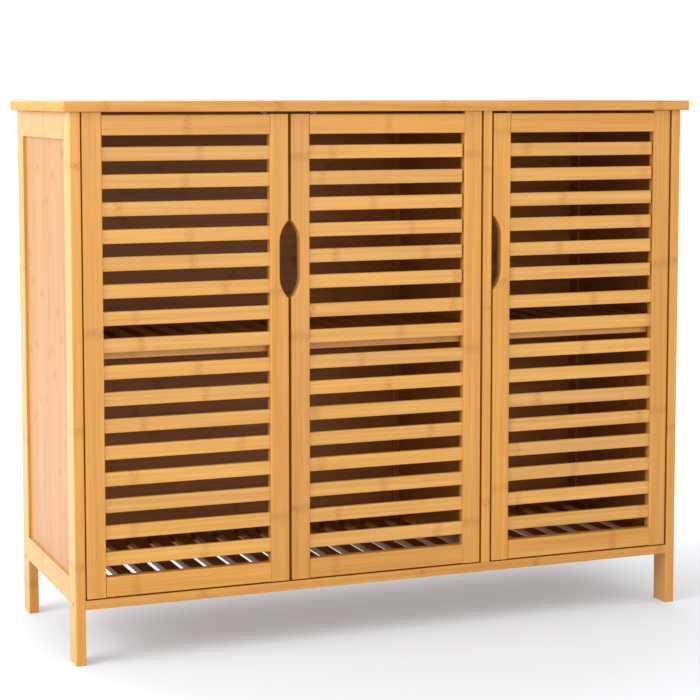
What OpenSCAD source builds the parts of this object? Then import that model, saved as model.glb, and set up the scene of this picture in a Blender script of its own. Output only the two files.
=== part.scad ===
// Bamboo shoe cabinet with three slatted pivot doors on four legs.
// Millimetres, +Z up, +X to the right seen from the front, doors on the -Y side.
// The origin is on the floor, below the middle of the top panel.

/* [Overall] */
// Width over the top panel
cabinet_w = 997; // [950:1:1050]
// Depth over the top panel
cabinet_d = 353; // [330:1:380]
// Height from the floor to the top face
cabinet_h = 800; // [780:1:850]
// Thickness of the top panel
top_t = 15; // [12:1:20]
// Overhang of the top panel past each side
side_overhang = 11; // [5:1:20]
// Overhang of the top panel past the doors
front_overhang = 9; // [4:1:15]

/* [Legs and rails] */
// Leg width, seen from the front
leg_w = 15; // [15:1:18]
// Leg depth, seen from the side
leg_d = 37; // [36:1:45]
// Underside of the front and back bottom rails
rail_z = 80; // [60:1:100]
// Height of the front and back bottom rails
rail_h = 13.5; // [13:0.5:16]
// Depth of the front and back bottom rails
rail_d = 34; // [30:1:40]
// Height of each side frame's top rail
side_top_rail_h = 39; // [35:1:45]
// Underside of each side frame's bottom rail
side_bottom_z = 85; // [70:1:95]
// Height of each side frame's bottom rail
side_bottom_rail_h = 36; // [34:1:45]
// Thickness of the side panels
side_panel_t = 6; // [4:0.5:7]
// Set-back of the side panels from the outer face
side_panel_recess = 4.5; // [2:0.5:5]
// Depth of the grooves that hold the panels
groove = 5; // [3:0.5:6]
// Thickness of the back rails and the back stile
back_t = 15; // [12:1:18]
// Thickness of the back panels
back_panel_t = 5; // [3:0.5:6]
// Width of the post between the second and third doors
post_w = 14; // [12:1:18]
// Thickness of the partition behind the post
partition_t = 9; // [6:0.5:12]

/* [Doors] */
// Door thickness
door_t = 16; // [14:0.5:18]
// Gap between the bottom rail and the doors
door_gap_bottom = 2; // [1.5:0.5:4]
// Gap between the doors and the top panel
door_gap_top = 4; // [3:0.5:5]
// Gap above the hinge stiles
hinge_gap_top = 0.6; // [0.3:0.1:1]
// Gap between the left leg and the first door
leg_gap = 2; // [2:0.5:3]
// Gap between the first and second doors
middle_gap = 4; // [3:0.5:5]
// Gap between a door and the post, or the right leg
post_gap = 3; // [2:0.5:4]
// Width of the door stiles
stile_w = 28.5; // [26:0.5:32]
// Height of the door rails
door_rail_h = 29; // [26:0.5:32]
// Radius of the eased edges on doors and frame
ease = 2; // [1:0.5:2.5]

/* [Slats] */
// Height of a door slat
slat_h = 20.2; // [18:0.1:21]
// Thickness of a door slat
slat_t = 8; // [6:0.5:9]
// Set-back of the slats from the door's front face
slat_recess = 3; // [1:0.5:5]
// Length of the tenon on each end of a slat
tenon = 6; // [4:0.5:8]
// Upper slats in each door
upper_slats = 6; // [6:1:6]
// Lower slats in each door
lower_slats = 10; // [10:1:10]
// Top of the first slat, below the door's top edge
first_slat_drop = 45; // [44:0.5:47]
// Top of the first lower slat, below the door's top edge
lower_slat_drop = 277; // [275:0.5:279]
// Pitch of the lower slats
lower_pitch = 38.2; // [37.8:0.1:38.4]
// Pitch of the first door's upper slats
upper_pitch_first = 38.7; // [37.8:0.1:38.8]
// Pitch of the other doors' upper slats
upper_pitch_others = 37.9; // [37.5:0.1:38.8]
// Gap between those slats' eased shoulders and the hinge stile
shoulder_gap = 1.5; // [0.5:0.1:2]
// Height of the tenons behind the shoulders
tenon_h = 14; // [10:0.5:15]
// Thickness of the tenons behind the shoulders
tenon_t = 4; // [3:0.5:4]

/* [Finger cut-outs] */
// Height of the cut-out along the door's edge
cutout_h = 113; // [100:1:120]
// Height of its straight middle
cutout_straight = 50; // [40:1:60]
// Depth of the cut-out into the stile
cutout_depth = 13.5; // [10:0.5:15]
// Height of the cut-out's centre above the floor
cutout_z = 570.5; // [540:0.5:600]
// Radius of its rounded lips on the front and back faces
cutout_lip = 2.5; // [1:0.5:4]

/* [Pivots and catches] */
// Pivot axis, in from the door's hinge edge
pivot_inset = 6.5; // [6:0.5:8]
// Pivot axis, behind the door's front face
pivot_depth = 5; // [5:0.5:6]
// Radius of the pivot pins
pin_r = 2.5; // [2:0.1:2.5]
// Outer radius of the bushings
bushing_r = 4; // [3.8:0.1:4]
// Radial clearance of a pin in its bushing
pin_clearance = 0.05; // [0.02:0.01:0.1]
// Length of a pin inside the stile
pin_in_stile = 25; // [20:1:30]
// Length of a bushing
bushing_l = 8; // [6:0.5:9]
// Magnet centre, in from the free edge of the first two doors
magnet_inset = 36.5; // [36.5:0.5:50]
// Magnet centre, in from the third door's free edge
magnet_inset_third = 27; // [24:0.5:50]
// Radius of a magnet
magnet_r = 8; // [6:0.5:8]
// Height of a magnet below the top panel
magnet_h = 2.6; // [2:0.1:2.8]
// Radius of a strike plate
strike_r = 7; // [5:0.5:7]
// Thickness of a strike plate
strike_t = 1.2; // [0.8:0.1:2]

/* [Shelves] */
// Underside of the middle shelf's rails
shelf_z = 435; // [420:1:450]
// Height of the middle shelf's rails
shelf_rail_h = 15; // [12:1:18]
// Thickness of a shelf slat
shelf_slat_t = 10; // [8:1:12]
// Width of a shelf slat
shelf_slat_w = 21; // [18:0.5:22]
// Clearance between the closed doors and the shelves
stop_gap = 1.5; // [1:0.5:3]
// Shelf slats in the left compartment
left_shelf_slats = 17; // [15:1:17]
// Their pitch
left_shelf_pitch = 36.8; // [36:0.1:36.9]
// Shelf slats in the right compartment
right_shelf_slats = 8; // [7:1:8]
// Their pitch
right_shelf_pitch = 39.8; // [39:0.1:40]
// Radius of the shelf pins
shelf_pin_r = 3; // [2.5:0.5:3]
// Length of a shelf pin on each side of its hole
shelf_pin_out = 8; // [6:1:10]

/* [Joinery] */
// Radius of the frame dowels
dowel_r = 4; // [3:0.5:4]
// Length of the frame dowels
dowel_l = 40; // [30:1:45]
// Length of a frame dowel inside a leg
dowel_in_leg = 15; // [12:1:20]
// Radius of the door dowels
door_dowel_r = 3; // [2.5:0.5:3]
// Length of the door dowels
door_dowel_l = 30; // [24:1:34]
// Radius of a barrel nut
nut_r = 4.5; // [4:0.5:4.5]
// Depth of a barrel nut in its rail
nut_h = 8; // [7:0.5:8]
// Distance from a barrel nut to the leg
nut_inset = 24; // [22:1:30]
// Radius of a frame bolt
frame_bolt_r = 3; // [2.5:0.5:3]
// Distance from a frame bolt to the front or back of its leg
frame_bolt_inset = 14.5; // [14.5:0.5:16]
// Depth of a frame bolt's head below the leg's outer face
bolt_sink = 1; // [0.5:0.5:3]

/* [Hidden] */

bamboo = [0.93, 0.70, 0.40];
bamboo_pale = [0.95, 0.76, 0.50];
bamboo_peach = [0.88, 0.66, 0.44];
bamboo_brown = [0.36, 0.22, 0.12];
steel = [0.75, 0.76, 0.78];
zinc = [0.68, 0.66, 0.60];
nylon = [0.30, 0.20, 0.13];

$fn = 48;
arc_steps = 4;
// Extra length of a cutting shape past the face that it opens
overcut = 1;

carcass_w = cabinet_w - 2 * side_overhang;
outer_x = carcass_w / 2;
inner_x = outer_x - leg_w;
front_y = -cabinet_d / 2 + front_overhang;
back_y = cabinet_d / 2;
top_z = cabinet_h - top_t;
floor_z = rail_z + rail_h;

door_z0 = floor_z + door_gap_bottom;
door_z1 = top_z - door_gap_top;
hinge_z1 = top_z - hinge_gap_top;
door_w = (2 * inner_x - post_w - leg_gap - middle_gap - 3 * post_gap) / 3;
post_x = -inner_x + leg_gap + 2 * door_w + middle_gap + post_gap;
partition_x = post_x + (post_w - partition_t) / 2;
// Hinge edges of the three doors; the first hangs on the left leg
hinge_x = [-inner_x + leg_gap, post_x - post_gap, inner_x - post_gap];
// +1 where the door reaches to the right of its hinge, -1 to the left
reach = [1, -1, -1];
slat_end = stile_w - tenon;

side_panel_z0 = side_bottom_z + side_bottom_rail_h - groove;
side_panel_z1 = top_z - side_top_rail_h + groove;
back_rail_z = top_z - side_top_rail_h;
back_panel_y = back_y - back_t / 2 - back_panel_t / 2;
back_stile_w = 30;
back_stile_x = post_x + post_w / 2 - back_stile_w / 2;

shelf_play = 0.5;
shelf_y0 = front_y + door_t + stop_gap;
shelf_y1 = back_panel_y - shelf_play;
shelf_back_y = back_y - back_t - shelf_play;
shelf_pin_inset = 26;
pin_y = [front_y + shelf_pin_inset, back_y - shelf_pin_inset];
pin_z = shelf_z - shelf_pin_r;
bolt_y = [front_y + frame_bolt_inset, back_y - frame_bolt_inset];
bolt_z = rail_z + rail_h / 2;
side_dowel_z = [side_bottom_z + 8, side_bottom_z + 22, top_z - 28, top_z - 11];
top_dowel_y = 10;
top_dowel_in = 10;
top_dowel_l = 30;
door_dowel_z = [8, 21];
pin_end_gap = 0.5;

// ---------- Shared shapes ----------

// A rectangle with its corner at the origin and rounded corners
function rounded(w, h, r) = [
  for (q = [0:3], k = [0:arc_steps])
    let (a = 180 + 90 * q + 90 * k / arc_steps,
         cx = (q == 0 || q == 3) ? r : w - r,
         cy = q < 2 ? r : h - r)
    [cx + r * cos(a), cy + r * sin(a)]
];

// A board of the given size whose edges along X, Y or Z are eased
module board_x(size, r = ease)
  rotate([90, 0, 90]) linear_extrude(size[0]) polygon(rounded(size[1], size[2], r));

module board_y(size, r = ease)
  translate([0, size[1], 0]) rotate([90, 0, 0])
    linear_extrude(size[1]) polygon(rounded(size[0], size[2], r));

module board_z(size, r = ease)
  linear_extrude(size[2]) polygon(rounded(size[0], size[1], r));

// A rod along X from its low end
module rod_x(x, y, z, r, l) translate([x, y, z]) rotate([0, 90, 0]) cylinder(h = l, r = r);

module rod_y(x, y, z, r, l) translate([x, y, z]) rotate([-90, 0, 0]) cylinder(h = l, r = r);

module rod_z(x, y, z, r, l) translate([x, y, z]) cylinder(h = l, r = r);

// Places a shape drawn on the left side, or its mirror image on the right
module side(s)
  if (s > 0) mirror([1, 0, 0]) children();
  else children();

// ---------- Top ----------

module top_panel() color(bamboo_pale)
  difference() {
    translate([-cabinet_w / 2, -cabinet_d / 2, top_z]) intersection() {
      board_x([cabinet_w, cabinet_d, top_t], ease);
      board_y([cabinet_w, cabinet_d, top_t], ease);
      board_z([cabinet_w, cabinet_d, top_t], ease + 1);
    }
    for (d = [0:2]) rod_z(pivot_x(d), front_y + pivot_depth, top_z - overcut, bushing_r, bushing_l + overcut);
    top_dowels();
  }

// ---------- Side frames ----------

module leg(s, back) color(bamboo)
  difference() {
    side(s) translate([-outer_x, back ? back_y - leg_d : front_y, 0]) intersection() {
      board_z([leg_w, leg_d, top_z], ease / 2);
      board_x([leg_w, leg_d, top_z], ease / 2);
    }
    side_panel(s);
    if (back && s < 0) back_panel_left();
    if (back && s > 0) back_panel_right();
    side_dowels();
    top_dowels();
    shelf_pins();
    bolt_rods(-overcut);
  }

module side_rail(s, z, h) color(bamboo)
  difference() {
    side(s) translate([-outer_x, front_y + leg_d, z])
      board_y([leg_w, back_y - front_y - 2 * leg_d, h], ease / 2);
    side_panel(s);
    side_dowels();
  }

module side_panel(s) color(bamboo_peach)
  side(s) translate([-outer_x + side_panel_recess, front_y + leg_d - groove, side_panel_z0])
    cube([side_panel_t, back_y - front_y - 2 * leg_d + 2 * groove, side_panel_z1 - side_panel_z0]);

// ---------- Rails, back and partition ----------

module front_bottom_rail() color(bamboo)
  difference() {
    translate([-inner_x, front_y, rail_z]) board_x([2 * inner_x, rail_d, rail_h], ease / 2);
    for (d = [0:2])
      rod_z(pivot_x(d), front_y + pivot_depth, floor_z - bushing_l, bushing_r, bushing_l + overcut);
    barrel_nuts();
    frame_bolts();
  }

module back_bottom_rail() color(bamboo)
  difference() {
    translate([-inner_x, back_y - rail_d, rail_z]) board_x([2 * inner_x, rail_d, rail_h], ease / 2);
    back_panel_left();
    back_panel_right();
    barrel_nuts();
    frame_bolts();
  }

module back_top_rail() color(bamboo)
  difference() {
    translate([-inner_x, back_y - back_t, back_rail_z])
      board_x([2 * inner_x, back_t, side_top_rail_h], ease / 2);
    back_panel_left();
    back_panel_right();
  }

module back_stile() color(bamboo)
  difference() {
    translate([back_stile_x, back_y - back_t, floor_z])
      board_z([back_stile_w, back_t, back_rail_z - floor_z], ease / 2);
    back_panel_left();
    back_panel_right();
  }

module back_panel(x0, x1) color(bamboo_brown)
  translate([x0, back_panel_y, floor_z - groove])
    cube([x1 - x0, back_panel_t, back_rail_z - floor_z + 2 * groove]);

module back_panel_left() back_panel(-inner_x - groove, back_stile_x + groove);

module back_panel_right() back_panel(back_stile_x + back_stile_w - groove, inner_x + groove);

module centre_post() color(bamboo)
  difference() {
    translate([post_x, front_y, floor_z]) board_z([post_w, leg_d, top_z - floor_z], ease / 2);
    shelf_pins();
    top_dowels();
  }

module partition_panel() color(bamboo_brown)
  difference() {
    translate([partition_x, front_y + leg_d, floor_z])
      cube([partition_t, back_y - back_t - front_y - leg_d, top_z - floor_z]);
    shelf_pins();
  }

// ---------- Shelves ----------

// The front and back rails of one middle shelf
module mid_shelf_rails(x0, x1, back_x0, back_x1) color(bamboo) {
  translate([x0, shelf_y0, shelf_z]) board_x([x1 - x0, rail_d, shelf_rail_h], ease / 2);
  translate([back_x0, shelf_back_y - rail_d, shelf_z])
    board_x([back_x1 - back_x0, rail_d, shelf_rail_h], ease / 2);
}

module mid_shelf_left_rails()
  mid_shelf_rails(-inner_x + shelf_play, post_x - shelf_play,
                  -inner_x + shelf_play, partition_x - shelf_play);

module mid_shelf_right_rails()
  mid_shelf_rails(post_x + post_w + shelf_play, inner_x - shelf_play,
                  partition_x + partition_t + shelf_play, inner_x - shelf_play);

// A row of shelf slats from front to back, starting at x and going in the direction dir
module shelf_slats(x, dir, count, pitch, z) color(bamboo_brown)
  for (i = [0:count - 1])
    translate([x + dir * i * pitch - (dir < 0 ? shelf_slat_w : 0), shelf_y0, z])
      board_y([shelf_slat_w, shelf_y1 - shelf_y0, shelf_slat_t], ease / 2);

module left_shelf_slats(z) shelf_slats(-inner_x + shelf_play, 1, left_shelf_slats, left_shelf_pitch, z);

module right_shelf_slats(z) shelf_slats(inner_x - shelf_play, -1, right_shelf_slats, right_shelf_pitch, z);

module mid_shelf_left_slats() left_shelf_slats(shelf_z + shelf_rail_h);

module mid_shelf_right_slats() right_shelf_slats(shelf_z + shelf_rail_h);

module bottom_shelf_left_slats() left_shelf_slats(floor_z);

module bottom_shelf_right_slats() right_shelf_slats(floor_z);

// Two in each side frame, one through the post and one through the partition
module shelf_pins() color(steel) {
  for (s = [-1, 1], y = pin_y)
    side(s) rod_x(-inner_x - shelf_pin_out, y, pin_z, shelf_pin_r, 2 * shelf_pin_out);
  rod_x(post_x - shelf_pin_out, pin_y[0], pin_z, shelf_pin_r, post_w + 2 * shelf_pin_out);
  rod_x(partition_x - shelf_pin_out, pin_y[1], pin_z, shelf_pin_r, partition_t + 2 * shelf_pin_out);
}

// ---------- Hardware of the frame ----------

function pivot_x(d) = hinge_x[d] + reach[d] * pivot_inset;

// Distance of door d's magnet from its hinge edge
function magnet_x(d) = door_w - (d < 2 ? magnet_inset : magnet_inset_third);

module door_magnets() color(zinc)
  for (d = [0:2])
    rod_z(hinge_x[d] + reach[d] * magnet_x(d), front_y + door_t / 2, top_z - magnet_h, magnet_r, magnet_h);

// One in the top panel and one in the bottom rail for each door
module pivot_bushings() color(nylon)
  for (d = [0:2], z = [top_z, floor_z - bushing_l])
    translate([pivot_x(d), front_y + pivot_depth, z]) difference() {
      cylinder(h = bushing_l, r = bushing_r);
      translate([0, 0, -overcut]) cylinder(h = bushing_l + 2 * overcut, r = pin_r + pin_clearance);
    }

module side_dowels() color(bamboo_pale)
  for (s = [-1, 1], z = side_dowel_z) side(s) {
    rod_y(-outer_x + leg_w / 2, front_y + leg_d - dowel_in_leg, z, dowel_r, dowel_l);
    rod_y(-outer_x + leg_w / 2, back_y - leg_d + dowel_in_leg - dowel_l, z, dowel_r, dowel_l);
  }

module top_dowels() color(bamboo_pale) {
  for (s = [-1, 1], y = [front_y + top_dowel_y, back_y - top_dowel_y])
    side(s) rod_z(-outer_x + leg_w / 2, y, top_z + top_dowel_in - top_dowel_l, dowel_r, top_dowel_l);
  rod_z(post_x + post_w / 2, front_y + leg_d / 2, top_z + top_dowel_in - top_dowel_l,
        dowel_r, top_dowel_l);
}

module barrel_nuts() color(zinc)
  for (s = [-1, 1], y = bolt_y) side(s) rod_z(-inner_x + nut_inset, y, rail_z, nut_r, nut_h);

// Rods along the frame bolts, from a depth below the legs' outer faces to the barrel nuts
module bolt_rods(depth)
  for (s = [-1, 1], y = bolt_y)
    side(s) rod_x(-outer_x + depth, y, bolt_z, frame_bolt_r, leg_w + nut_inset - nut_r - depth);

module frame_bolts() color(steel) bolt_rods(bolt_sink);

// ---------- Doors ----------
// A door is drawn with its hinge edge at x = 0 and its front face at y = 0

module place_door(d)
  translate([hinge_x[d], front_y, 0])
    if (reach[d] < 0) mirror([1, 0, 0]) children();
    else children();

function upper_pitch(d) = d == 0 ? upper_pitch_first : upper_pitch_others;

// Top of slat i of door d, counted from the top
function slat_top(d, i) = i < upper_slats
  ? door_z1 - first_slat_drop - i * upper_pitch(d)
  : door_z1 - lower_slat_drop - (i - upper_slats) * lower_pitch;

// A slat that runs into both stiles at its full section
module plain_slat()
  translate([slat_end, 0, 0]) board_x([door_w - 2 * slat_end, slat_t, slat_h]);

// A slat whose hinge end has eased shoulders and a tenon
module shouldered_slat() {
  start = stile_w + shoulder_gap;
  size = [door_w - start - slat_end, slat_t, slat_h];
  translate([start, 0, 0]) intersection() {
    board_x(size);
    board_y(size);
    board_z(size);
  }
  translate([slat_end, (slat_t - tenon_t) / 2, (slat_h - tenon_h) / 2])
    cube([tenon + shoulder_gap + 2 * ease, tenon_t, tenon_h]);
}

// The upper slats of the second and third doors have shoulders
module slats_shape(d)
  for (i = [0:upper_slats + lower_slats - 1])
    translate([0, slat_recess, slat_top(d, i) - slat_h])
      if (d > 0 && i < upper_slats) shouldered_slat();
      else plain_slat();

module door_dowels_shape()
  for (x = [stile_w, door_w - stile_w], base = [door_z0, door_z1 - door_rail_h], z = door_dowel_z)
    rod_x(x - door_dowel_l / 2, door_t / 2, base + z, door_dowel_r, door_dowel_l);

module pivot_pins_shape() {
  rod_z(pivot_inset, pivot_depth, hinge_z1 - pin_in_stile, pin_r,
        pin_in_stile + hinge_gap_top + bushing_l - pin_end_gap);
  rod_z(pivot_inset, pivot_depth, floor_z - bushing_l + pin_end_gap, pin_r,
        pin_in_stile + door_gap_bottom + bushing_l - pin_end_gap);
}

module strike_plate_shape(d)
  rod_z(magnet_x(d), door_t / 2, door_z1 - strike_t, strike_r, strike_t);

// Half the section of the cut-out at a given half width, with both lips rounded over
function cutout_section(half_w) = concat(
  [[0, door_t + overcut], [0, -overcut], [half_w + cutout_lip, -overcut]],
  [for (k = [0:arc_steps])
    let (a = 90 * k / arc_steps)
    [half_w + cutout_lip * (1 - sin(a)), cutout_lip * (1 - cos(a))]],
  [for (k = [arc_steps:-1:0])
    let (a = 90 * k / arc_steps)
    [half_w + cutout_lip * (1 - sin(a)), door_t - cutout_lip * (1 - cos(a))]],
  [[half_w + cutout_lip, door_t + overcut]]
);

// The finger cut-out: a straight middle run out to the door's edge by two arcs
module cutout_shape() {
  half = cutout_straight / 2;
  run = (cutout_h - cutout_straight) / 2;
  arc_r = (run * run + cutout_depth * cutout_depth) / (2 * cutout_depth);
  translate([door_w - cutout_depth + arc_r, 0, cutout_z]) {
    for (z = [-half, half])
      translate([0, 0, z]) rotate([-90, 0, 0]) rotate_extrude() polygon(cutout_section(arc_r));
    translate([0, 0, -half]) mirror([1, 0, 0])
      linear_extrude(2 * half) polygon(cutout_section(arc_r));
  }
}

module hinge_stile(d) color(bamboo)
  place_door(d) difference() {
    translate([0, 0, door_z0]) board_z([stile_w, door_t, hinge_z1 - door_z0]);
    slats_shape(d);
    door_dowels_shape();
    pivot_pins_shape();
  }

module free_stile(d) color(bamboo)
  place_door(d) difference() {
    translate([door_w - stile_w, 0, door_z0]) board_z([stile_w, door_t, door_z1 - door_z0]);
    slats_shape(d);
    door_dowels_shape();
    strike_plate_shape(d);
    cutout_shape();
  }

module top_rail(d) color(bamboo)
  place_door(d) difference() {
    translate([stile_w, 0, door_z1 - door_rail_h])
      board_x([door_w - 2 * stile_w, door_t, door_rail_h]);
    door_dowels_shape();
    strike_plate_shape(d);
  }

module bottom_rail(d) color(bamboo)
  place_door(d) difference() {
    translate([stile_w, 0, door_z0]) board_x([door_w - 2 * stile_w, door_t, door_rail_h]);
    door_dowels_shape();
  }

module slats(d) color(bamboo_pale) place_door(d) slats_shape(d);

module dowels(d) color(bamboo_pale) place_door(d) door_dowels_shape();

module pivot_pins(d) color(steel) place_door(d) pivot_pins_shape();

module strike_plate(d) color(steel) place_door(d) strike_plate_shape(d);

// ---------- Nodes ----------

top_panel();
leg(-1, false);  // front_left_leg
leg(1, false);  // front_right_leg
leg(-1, true);  // back_left_leg
leg(1, true);  // back_right_leg
side_rail(-1, top_z - side_top_rail_h, side_top_rail_h);  // left_side_top_rail
side_rail(-1, side_bottom_z, side_bottom_rail_h);  // left_side_bottom_rail
side_panel(-1);  // left_side_panel
side_rail(1, top_z - side_top_rail_h, side_top_rail_h);  // right_side_top_rail
side_rail(1, side_bottom_z, side_bottom_rail_h);  // right_side_bottom_rail
side_panel(1);  // right_side_panel
front_bottom_rail();
back_bottom_rail();
back_top_rail();
back_stile();
back_panel_left();
back_panel_right();
centre_post();
partition_panel();
mid_shelf_left_rails();
mid_shelf_left_slats();
mid_shelf_right_rails();
mid_shelf_right_slats();
bottom_shelf_left_slats();
bottom_shelf_right_slats();
shelf_pins();
door_magnets();
pivot_bushings();
side_dowels();
top_dowels();
barrel_nuts();
frame_bolts();
hinge_stile(0);  // door_1_hinge_stile
free_stile(0);  // door_1_free_stile
top_rail(0);  // door_1_top_rail
bottom_rail(0);  // door_1_bottom_rail
slats(0);  // door_1_slats
dowels(0);  // door_1_dowels
pivot_pins(0);  // door_1_pivot_pins
strike_plate(0);  // door_1_strike_plate
hinge_stile(1);  // door_2_hinge_stile
free_stile(1);  // door_2_free_stile
top_rail(1);  // door_2_top_rail
bottom_rail(1);  // door_2_bottom_rail
slats(1);  // door_2_slats
dowels(1);  // door_2_dowels
pivot_pins(1);  // door_2_pivot_pins
strike_plate(1);  // door_2_strike_plate
hinge_stile(2);  // door_3_hinge_stile
free_stile(2);  // door_3_free_stile
top_rail(2);  // door_3_top_rail
bottom_rail(2);  // door_3_bottom_rail
slats(2);  // door_3_slats
dowels(2);  // door_3_dowels
pivot_pins(2);  // door_3_pivot_pins
strike_plate(2);  // door_3_strike_plate
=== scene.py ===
"""Bamboo shoe cabinet: materials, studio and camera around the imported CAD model."""

import math

import bpy
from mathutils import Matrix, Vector

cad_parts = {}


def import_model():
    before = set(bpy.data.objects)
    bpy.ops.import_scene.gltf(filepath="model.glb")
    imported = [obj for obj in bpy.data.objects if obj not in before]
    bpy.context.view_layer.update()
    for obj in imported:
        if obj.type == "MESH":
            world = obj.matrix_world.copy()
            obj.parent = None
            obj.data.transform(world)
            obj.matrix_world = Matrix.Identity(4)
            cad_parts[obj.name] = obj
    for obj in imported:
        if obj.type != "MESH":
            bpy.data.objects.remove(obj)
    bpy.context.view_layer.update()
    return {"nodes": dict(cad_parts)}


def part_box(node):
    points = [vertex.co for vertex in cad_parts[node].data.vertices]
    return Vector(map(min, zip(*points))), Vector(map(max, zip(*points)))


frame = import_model()
X, Y, Z = 0, 1, 2

# Camera: a long lens to the left of the front, at the height of the top panel.
CAMERA_AT = Vector((-1.1203, -2.8213, 0.8064))
CAMERA_YAW = math.radians(21.598)
CAMERA_PITCH = math.radians(5.084)
CAMERA_LENS = 100.06
CAMERA_SENSOR = 36.0
CAMERA_SHIFT = -0.115

# Bamboo tones, linear: body colour, its pale and its dark streaks, and the node marks.
TONES = {
    "frame": ((0.56, 0.241, 0.027), (0.64, 0.308, 0.053), (0.47, 0.180, 0.015), (0.34, 0.110, 0.009)),
    "slat": ((0.59, 0.279, 0.045), (0.67, 0.348, 0.078), (0.49, 0.210, 0.025), (0.35, 0.121, 0.013)),
    # A paler, yellower copy of the bamboo for the outer side faces: painted light from the side.
    "edge": ((0.55, 0.294, 0.066), (0.60, 0.338, 0.090), (0.48, 0.236, 0.042), (0.39, 0.165, 0.024)),
    "peach": ((0.46, 0.216, 0.057), (0.52, 0.262, 0.085), (0.34, 0.134, 0.029), (0.29, 0.103, 0.021)),
    "top": ((0.59, 0.287, 0.069), (0.65, 0.340, 0.096), (0.47, 0.200, 0.034), (0.36, 0.130, 0.018)),
    # The dark stain of the inside, partly painted shade.
    "stain_and_shade": ((0.36, 0.121, 0.017), (0.43, 0.150, 0.028), (0.26, 0.075, 0.008), (0.18, 0.048, 0.005)),
    "shelf": ((0.26, 0.082, 0.013), (0.32, 0.110, 0.022), (0.19, 0.055, 0.007), (0.12, 0.032, 0.004)),
    "beech": ((0.62, 0.420, 0.240), (0.68, 0.480, 0.290), (0.52, 0.330, 0.170), (0.45, 0.270, 0.130)),
}
# Painted shade: the colour of the shadow in the gap at a slat's shoulder.
GAP_SHADE_COLOUR = (0.035, 0.012, 0.003)

# Streaks of the bamboo: how fast they change along the grain and across it, per metre, and detail.
BROAD_STREAKS = (3.0, 150.0, 2.0)
MIDDLE_STREAKS = (6.0, 480.0, 3.0)
FINE_STREAKS = (16.0, 1900.0, 2.0)
# Node marks, in metres: half widths of the stained band, its ridge and the fainter second ridge.
BAND = (0.002, 0.010)
RIDGE = (0.0002, 0.0013)
SECOND_RIDGE = (0.0002, 0.0012)
SECOND_RIDGE_OFFSET = 0.0045
NODE_BOW = 0.007
# Painted shadow line at a slat's shoulder: full out to the first distance from the stile, gone at the
# second.
GAP_SHADE_REACH = (0.0014, 0.0026)

# Each node's own seed: the first one, and the step to the next node in order of name.
FIRST_SEED, SEED_STEP = 11.0, 3.0

# Counts, and sizes in metres, that tell one slat from the next inside a node.
SHELF_SLAT_W = 0.021
SHELF_SLATS_LEFT, SHELF_SLATS_RIGHT = 17, 8
DOOR_SLAT_PITCH = 0.0382
DOOR_SLAT_MARGIN = 0.009
# From the underside of a door's top rail to the gap below its sixth slat.
UPPER_SLATS_H = 0.240

# The inside of the cabinet, dark with a stain that is partly painted shade: between the side panels,
# behind the doors, above the bottom rails.
FACE_MARGIN = 0.0005
DOOR_CLEARANCE = 0.007
INSIDE_HALF_W = -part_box("left_side_panel")[1].x + FACE_MARGIN
INSIDE_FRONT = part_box("door_1_slats")[1].y + DOOR_CLEARANCE
INSIDE_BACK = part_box("back_panel_left")[0].y + FACE_MARGIN
INSIDE_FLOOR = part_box("front_bottom_rail")[1].z + FACE_MARGIN
# The outer side faces start here, so that they take in the legs' eased edges.
OUTER_HALF_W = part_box("front_right_leg")[1].x - 0.0015

# The floor's glow, by distance from the origin in metres: weaker near the cabinet.
FLOOR_HALF_W = 30.0
GLOW_NEAR, GLOW_FAR = 0.235, 0.50
GLOW_FROM, GLOW_TO = 0.5, 1.2


class Graph:
    """A small helper that adds shader nodes and links to one material."""

    def __init__(self, name):
        self.material = bpy.data.materials.new(name)
        self.material.use_nodes = True
        self.tree = self.material.node_tree
        self.shader = self.tree.nodes["Principled BSDF"]

    def node(self, kind, inputs=None, **settings):
        made = self.tree.nodes.new(kind)
        for key, value in settings.items():
            setattr(made, key, value)
        for key, value in (inputs or {}).items():
            self.feed(made.inputs[key], value)
        return made

    def feed(self, socket, value):
        if isinstance(value, bpy.types.NodeSocket):
            self.tree.links.new(value, socket)
        else:
            socket.default_value = value

    def math(self, operation, a, b=0.0, c=0.0, clamp=False):
        made = self.node("ShaderNodeMath", {0: a, 1: b, 2: c}, operation=operation, use_clamp=clamp)
        return made.outputs[0]

    def xyz(self, x, y, z):
        return self.node("ShaderNodeCombineXYZ", {0: x, 1: y, 2: z}).outputs[0]

    def noise(self, vector, detail=2.0, roughness=0.5):
        made = self.node("ShaderNodeTexNoise", {
            "Vector": vector, "Scale": 1.0, "Detail": detail, "Roughness": roughness,
        })
        return made.outputs["Fac"]

    def random(self, x, y, z=0.0):
        return self.node("ShaderNodeTexWhiteNoise", {"Vector": self.xyz(x, y, z)}).outputs["Value"]

    def spread(self, value, low, high, to_low=0.0, to_high=1.0):
        made = self.node("ShaderNodeMapRange", {0: value, 1: low, 2: high, 3: to_low, 4: to_high})
        return made.outputs[0]

    def blend(self, factor, a, b, mode="MIX"):
        made = self.node("ShaderNodeMix", data_type="RGBA", blend_type=mode)
        for socket, value in ((made.inputs[0], factor), (made.inputs[6], a), (made.inputs[7], b)):
            self.feed(socket, (*value, 1.0) if isinstance(value, tuple) and len(value) == 3 else value)
        return made.outputs[2]

    def set(self, **values):
        for key, value in values.items():
            self.feed(self.shader.inputs[key.replace("_", " ")], value)

    def bump(self, height, strength, distance):
        made = self.node("ShaderNodeBump", {"Strength": strength, "Distance": distance, "Height": height})
        self.feed(self.shader.inputs["Normal"], made.outputs[0])


def toned(g, tone, streak, fine, marked):
    """One tone's colour at every point: body, pale and dark streaks, fibres and node marks."""
    body, pale, dark, mark = TONES[tone]
    colour = g.blend(0.68, body, g.blend(g.spread(streak, 0.36, 0.64), dark, pale))
    colour = g.blend(g.spread(fine, 0.56, 0.82, 0.0, 0.55), colour, dark)
    return g.blend(marked, colour, mark)


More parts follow.
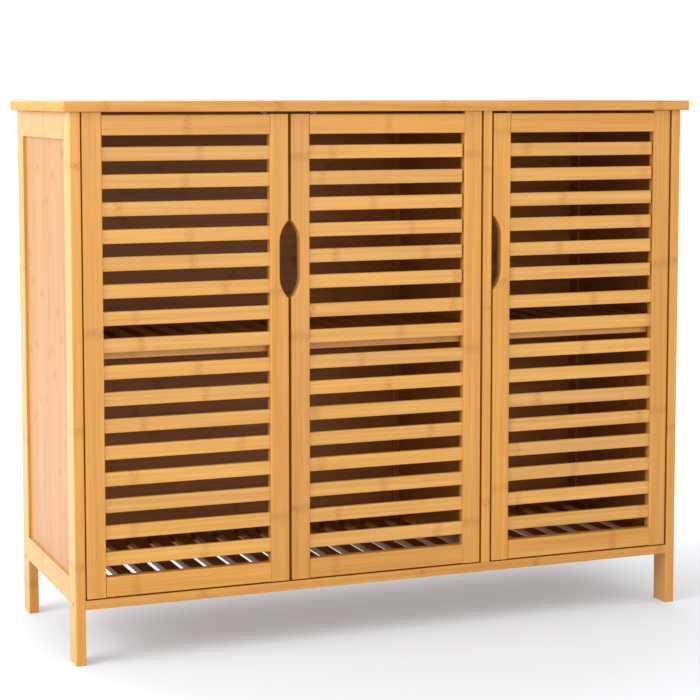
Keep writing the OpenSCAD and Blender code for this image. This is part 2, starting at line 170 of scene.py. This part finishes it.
def inside_mask(g, at):
    """1 on the faces that look into the closed cabinet, 0 outside."""
    tests = (
        g.math("LESS_THAN", g.math("ABSOLUTE", at[X]), INSIDE_HALF_W),
        g.math("GREATER_THAN", at[Y], INSIDE_FRONT),
        g.math("LESS_THAN", at[Y], INSIDE_BACK),
        g.math("GREATER_THAN", at[Z], INSIDE_FLOOR),
    )
    mask = tests[0]
    for test in tests[1:]:
        mask = g.math("MULTIPLY", mask, test)
    return mask


def bamboo(name, tone, grain, across, seed, internode=0.27, strip=None, cell=None,
           coat=0.30, specular=0.5, edge=None, stain_and_shade=False, gap_shade=None):
    """Lacquered bamboo: fibres along the grain and the node marks that cross them.

    grain and across are axes; internode is the distance between node marks.
    strip is the width of the strips that a panel is glued up from, or None for one solid board;
    cell is (axis, start, pitch) where one CAD node holds a row of boards;
    edge is a paler, yellower tone painted on the cabinet's outer side faces as light from the side;
    stain_and_shade darkens the inside of the cabinet with a stain that is partly painted shade;
    gap_shade is (x, z) of the painted shadow line where the slats above height z meet a stile at x."""
    g = Graph(name)
    coords = g.node("ShaderNodeTexCoord")
    split = g.node("ShaderNodeSeparateXYZ", {0: coords.outputs["Object"]})
    normal = g.node("ShaderNodeSeparateXYZ", {0: coords.outputs["Normal"]})
    depth = ({X, Y, Z} - {grain, across}).pop()
    u, v, w = (split.outputs[axis] for axis in (grain, across, depth))

    board = seed
    if cell:
        axis, start, pitch = cell
        row = g.math("DIVIDE", g.math("SUBTRACT", split.outputs[axis], start), pitch)
        board = g.math("ADD", g.math("FLOOR", row), seed)
    strip_at = g.math("ADD", g.math("DIVIDE", v, strip), seed * 0.37) if strip else 0.0
    strip_id = g.math("FLOOR", strip_at) if strip else 0.0
    # Two random numbers for each strip of each board; the third coordinate keeps them apart.
    chance = g.random(strip_id, board, 3.1)
    other = g.random(strip_id, board, 7.7)

    # Fibres: three scales of streaks, long along the grain, shifted on every board and strip.
    shifted = g.math("ADD", u, g.math("MULTIPLY", chance, 9.0))
    seeded = g.math("ADD", w, g.math("MULTIPLY", board, 0.173))

    def streaks(along, over, detail):
        stretched = g.math("MULTIPLY", shifted, along)
        scaled = g.xyz(stretched, g.math("MULTIPLY", v, over), g.math("MULTIPLY", seeded, over))
        return g.noise(scaled, detail, 0.6)

    broad, middle, fine = streaks(*BROAD_STREAKS), streaks(*MIDDLE_STREAKS), streaks(*FINE_STREAKS)

    # Node marks: one every internode or so, shifted from strip to strip.
    along = g.math("ADD", g.math("DIVIDE", u, internode), g.math("MULTIPLY", chance, 5.3))
    place = g.random(g.math("FLOOR", along), strip_id, board)
    centre = g.spread(place, 0.0, 1.0, 0.22, 0.78)
    wobble = g.noise(g.xyz(g.math("MULTIPLY", u, 40.0), g.math("MULTIPLY", v, 160.0), board), 2.0)
    bow = g.math("MULTIPLY", g.math("SUBTRACT", wobble, 0.5), NODE_BOW)
    away = g.math("MULTIPLY", g.math("SUBTRACT", g.math("FRACT", along), centre), internode)
    away = g.math("ADD", away, bow)
    near = g.spread(g.math("ABSOLUTE", away), *BAND, 1.0, 0.0)
    ridge = g.spread(g.math("ABSOLUTE", away), *RIDGE, 1.0, 0.0)
    beyond = g.math("SUBTRACT", away, SECOND_RIDGE_OFFSET)
    second = g.spread(g.math("ABSOLUTE", beyond), *SECOND_RIDGE, 0.7, 0.0)
    speck_z = g.math("MULTIPLY", seeded, 300.0)
    speck_at = g.xyz(g.math("MULTIPLY", u, 330.0), g.math("MULTIPLY", v, 420.0), speck_z)
    specks = g.spread(g.noise(speck_at, 3.0, 0.65), 0.52, 0.66)
    marks = g.math("MULTIPLY", near, g.math("ADD", g.math("MULTIPLY", specks, 0.70), 0.16))
    lines = g.math("MULTIPLY", g.math("MAXIMUM", ridge, second), g.spread(other, 0.0, 1.0, 0.18, 0.5))
    marked = g.math("MAXIMUM", marks, lines, clamp=True)

    # Colour: the board's own tone, a paler copy painted on the outer side faces as light from the side,
    # and the dark stain inside, partly painted shade.
    streak = g.math("ADD", g.math("MULTIPLY", broad, 0.55), g.math("MULTIPLY", middle, 0.45))
    colour = toned(g, tone, streak, fine, marked)
    # Painted light: the outer side faces get a paler, yellower copy of the tone, as if lit from the side.
    if edge:
        sideways = g.spread(g.math("ABSOLUTE", normal.outputs[X]), 0.45, 0.9)
        outermost = g.math("GREATER_THAN", g.math("ABSOLUTE", split.outputs[X]), OUTER_HALF_W)
        on_edge = g.math("MULTIPLY", sideways, outermost)
        colour = g.blend(on_edge, colour, toned(g, edge, streak, fine, marked))
    # Dark stain on the faces inside the cabinet, partly painted shade where the closed doors keep the
    # light out.
    if stain_and_shade:
        colour = g.blend(inside_mask(g, split.outputs), colour, toned(g, "stain_and_shade", streak, fine, marked))
    level = g.spread(chance, 0.0, 1.0, 0.94, 1.06)
    blue = g.spread(other, 0.0, 1.0, 0.90, 1.12)
    tint = g.node("ShaderNodeCombineColor", {0: level, 1: level, 2: blue}).outputs[0]
    colour = g.blend(1.0, colour, tint, "MULTIPLY")
    if strip:
        middle_of_strip = g.math("SUBTRACT", g.math("FRACT", strip_at), 0.5)
        seam = g.spread(g.math("ABSOLUTE", middle_of_strip), 0.482, 0.5, 0.0, 0.30)
        colour = g.blend(seam, colour, TONES[tone][2])
    # Painted shade: a dark line where the upper slats meet the hinge stile, the shadow in the shoulder
    # gap.
    if gap_shade:
        to_stile = g.math("ABSOLUTE", g.math("SUBTRACT", split.outputs[X], gap_shade[0]))
        upper = g.math("GREATER_THAN", split.outputs[Z], gap_shade[1])
        line = g.math("MULTIPLY", g.spread(to_stile, *GAP_SHADE_REACH, 0.92, 0.0), upper)
        colour = g.blend(line, colour, GAP_SHADE_COLOUR)

    # End grain where a face looks along the grain: pores instead of streaks.
    ends = g.spread(g.math("ABSOLUTE", normal.outputs[grain]), 0.80, 0.95)
    pores = g.node("ShaderNodeTexVoronoi", {"Vector": g.xyz(v, w, board), "Scale": 1100.0})
    pore = g.spread(pores.outputs["Distance"], 0.10, 0.42, 0.55, 0.0)
    colour = g.blend(g.math("MULTIPLY", ends, pore), colour, TONES[tone][3])

    g.set(Base_Color=colour, IOR=1.46, Specular_IOR_Level=specular)
    g.set(Coat_Weight=coat, Coat_Roughness=0.25)
    g.set(Roughness=g.spread(g.math("ADD", middle, g.math("MULTIPLY", marked, 0.4)), 0.3, 0.9, 0.42, 0.58))
    relief = g.math("ADD", g.math("MULTIPLY", middle, 0.5), g.math("MULTIPLY", fine, 0.5))
    g.bump(g.math("SUBTRACT", relief, g.math("MULTIPLY", marked, 0.5)), 0.16, 0.0004)
    return g.material


def metal(name, colour, rough, brush_axis, seed):
    """Plated steel with fine turning or drawing lines and a little haze."""
    g = Graph(name)
    coords = g.node("ShaderNodeTexCoord")
    split = g.node("ShaderNodeSeparateXYZ", {0: coords.outputs["Object"]})

    def scaled(*factors):
        return g.xyz(*(g.math("MULTIPLY", part, by) for part, by in zip(split.outputs, factors)))

    lines = g.noise(scaled(*(60.0 if axis == brush_axis else 4000.0 for axis in (X, Y, Z))), 2.0)
    haze = g.noise(scaled(*[220.0 + seed] * 3), 3.0)
    darker = tuple(0.72 * part for part in colour)
    g.set(Base_Color=g.blend(g.spread(haze, 0.35, 0.7), colour, darker), Metallic=1.0)
    g.set(Roughness=g.spread(g.math("ADD", lines, haze), 0.7, 1.3, rough - 0.08, rough + 0.12))
    g.bump(lines, 0.12, 0.0001)
    return g.material


def nylon(name):
    """Brown moulded nylon with a fine grain."""
    g = Graph(name)
    place = g.node("ShaderNodeTexCoord").outputs["Object"]
    texture = g.node("ShaderNodeTexNoise", {"Vector": place, "Scale": 1800.0, "Detail": 2.0})
    grain = texture.outputs["Fac"]
    brown, dark_brown = (0.075, 0.035, 0.016), (0.055, 0.026, 0.012)
    g.set(Base_Color=g.blend(g.spread(grain, 0.4, 0.7), brown, dark_brown), IOR=1.53)
    g.set(Roughness=g.spread(grain, 0.3, 0.7, 0.42, 0.55))
    g.bump(grain, 0.15, 0.0001)
    return g.material


# ---------- Which board runs which way ----------

def shelf_cell(node):
    """Start and pitch of a shelf's slats along X, so each slat is its own board."""
    low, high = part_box(node)
    count = SHELF_SLATS_LEFT if "left" in node else SHELF_SLATS_RIGHT
    pitch = (high.x - low.x - SHELF_SLAT_W) / (count - 1)
    return (X, low.x - (pitch - SHELF_SLAT_W) / 2, pitch)


def slat_cell(node):
    """The same for a door's slats along Z, which sit at a nearly even pitch."""
    return (Z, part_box(node)[0].z - DOOR_SLAT_MARGIN, DOOR_SLAT_PITCH)


def gap_shade_place(node):
    """Where the painted shadow line goes: where a door's upper slats meet its hinge stile, and a height
    just below the lowest of them.
    """
    door = node.removesuffix("slats")
    return (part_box(door + "hinge_stile")[0].x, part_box(door + "top_rail")[0].z - UPPER_SLATS_H)


def hardware(node, name, seed):
    """Metal and nylon pieces, or None for a wooden one."""
    if node.endswith("pivot_pins"):
        return metal(name, (0.13, 0.11, 0.09), 0.44, Z, seed)
    if node.endswith("strike_plate") or node in ("shelf_pins", "frame_bolts"):
        return metal(name, (0.60, 0.61, 0.63), 0.30, X, seed)
    if node == "door_magnets":
        return metal(name, (0.12, 0.11, 0.09), 0.46, X, seed)
    if node == "barrel_nuts":
        return metal(name, (0.50, 0.50, 0.49), 0.34, X, seed)
    if node == "pivot_bushings":
        return nylon(name)
    return None


def wood(node, name, seed):
    """Bamboo and beech pieces: tone, grain direction and strips by the node's name."""
    if node.endswith("dowels"):
        grain = {"side_dowels": Y, "top_dowels": Z}.get(node, X)
        return bamboo(name, "beech", grain, Y if grain == Z else Z, seed, coat=0.0)
    if node == "top_panel":
        return bamboo(name, "top", X, Y, seed, strip=0.0225, internode=0.31, coat=0.0, specular=0.1,
                      edge="edge")
    if node.endswith("side_panel"):
        return bamboo(name, "peach", Z, Y, seed, strip=0.020, internode=0.30, coat=0.2, stain_and_shade=True)
    if node.startswith("back_panel"):
        return bamboo(name, "stain_and_shade", X, Z, seed, strip=0.019, coat=0.0)
    if node == "partition_panel":
        return bamboo(name, "stain_and_shade", Z, Y, seed, strip=0.019, coat=0.0)
    if "shelf" in node and node.endswith("_slats"):
        return bamboo(name, "shelf", Y, X, seed, cell=shelf_cell(node), coat=0.0)
    if node.endswith("_slats"):
        gap_shade = None if node.startswith("door_1") else gap_shade_place(node)
        return bamboo(name, "slat", X, Z, seed, cell=slat_cell(node), internode=0.23, gap_shade=gap_shade)
    if node.endswith(("leg", "stile", "post")):
        if "door" in node or node == "centre_post":
            return bamboo(name, "frame", Z, X, seed, internode=0.29)
        return bamboo(name, "frame", Z, X, seed, internode=0.29, edge="edge", stain_and_shade=True)
    if node.startswith(("left_side", "right_side")):
        return bamboo(name, "frame", Y, Z, seed, internode=0.24, edge="edge", stain_and_shade=True)
    if node == "back_top_rail":
        return bamboo(name, "frame", X, Z, seed, internode=0.25, stain_and_shade=True)
    return bamboo(name, "frame", X, Z, seed, internode=0.25)


for order, (node, obj) in enumerate(sorted(frame["nodes"].items())):
    name, seed = "mat_" + node, FIRST_SEED + SEED_STEP * order
    obj.data.materials.clear()
    obj.data.materials.append(hardware(node, name, seed) or wood(node, name, seed))


# ---------- Studio ----------

def floor():
    """A plain pale floor, wide enough to run out of every view; a glow keeps its shadows soft."""
    half = FLOOR_HALF_W
    corners = [(-half, -half, 0.0), (half, -half, 0.0), (half, half, 0.0), (-half, half, 0.0)]
    mesh = bpy.data.meshes.new("floor")
    mesh.from_pydata(corners, [], [(0, 1, 2, 3)])
    made = bpy.data.objects.new("floor", mesh)
    bpy.context.scene.collection.objects.link(made)
    g = Graph("studio_floor")
    place = g.node("ShaderNodeTexCoord").outputs["Object"]
    distance = g.node("ShaderNodeVectorMath", {0: place}, operation="LENGTH").outputs["Value"]
    g.set(Base_Color=(0.53, 0.56, 0.60, 1.0), Roughness=0.9, Emission_Color=(1.0, 1.0, 1.0, 1.0))
    g.set(Emission_Strength=g.spread(distance, GLOW_FROM, GLOW_TO, GLOW_NEAR, GLOW_FAR))
    mesh.materials.append(g.material)


def area_light(name, at, target, width, height, power):
    """A white rectangular light that faces the target; lengths in metres, power in watts."""
    data = bpy.data.lights.new(name, "AREA")
    data.shape = "RECTANGLE"
    data.size, data.size_y = width, height
    data.energy = power
    made = bpy.data.objects.new(name, data)
    bpy.context.scene.collection.objects.link(made)
    made.location = at
    made.rotation_mode = "QUATERNION"
    made.rotation_quaternion = (Vector(target) - Vector(at)).to_track_quat("-Z", "Y")


def world(strength):
    """Even white light from all round."""
    made = bpy.data.worlds.new("studio")
    made.use_nodes = True
    background = made.node_tree.nodes["Background"]
    background.inputs["Color"].default_value = (1.0, 1.0, 1.0, 1.0)
    background.inputs["Strength"].default_value = strength
    bpy.context.scene.world = made


def camera():
    """The photo's camera: yaw turns to the right, pitch tilts down."""
    data = bpy.data.cameras.new("camera")
    data.lens, data.sensor_width, data.shift_y = CAMERA_LENS, CAMERA_SENSOR, CAMERA_SHIFT
    data.dof.use_dof = False
    made = bpy.data.objects.new("camera", data)
    bpy.context.scene.collection.objects.link(made)
    made.location = CAMERA_AT
    level = math.cos(CAMERA_PITCH)
    look = Vector((math.sin(CAMERA_YAW) * level, math.cos(CAMERA_YAW) * level, -math.sin(CAMERA_PITCH)))
    made.rotation_mode = "QUATERNION"
    made.rotation_quaternion = look.to_track_quat("-Z", "Y")
    bpy.context.scene.camera = made


floor()
world(1.0)
area_light("key_left", (-3.2, -0.6, 1.8), (-0.4, 0.0, 0.4), 2.4, 2.0, 102.0)
area_light("front_fill", (0.5, -4.2, 1.3), (0.2, 0.0, 0.45), 2.6, 1.6, 26.0)
area_light("back_light", (-0.6, 3.2, 1.9), (0.0, 0.7, 0.0), 3.6, 1.6, 50.0)
camera()
bpy.context.scene.view_settings.view_transform = "Standard"
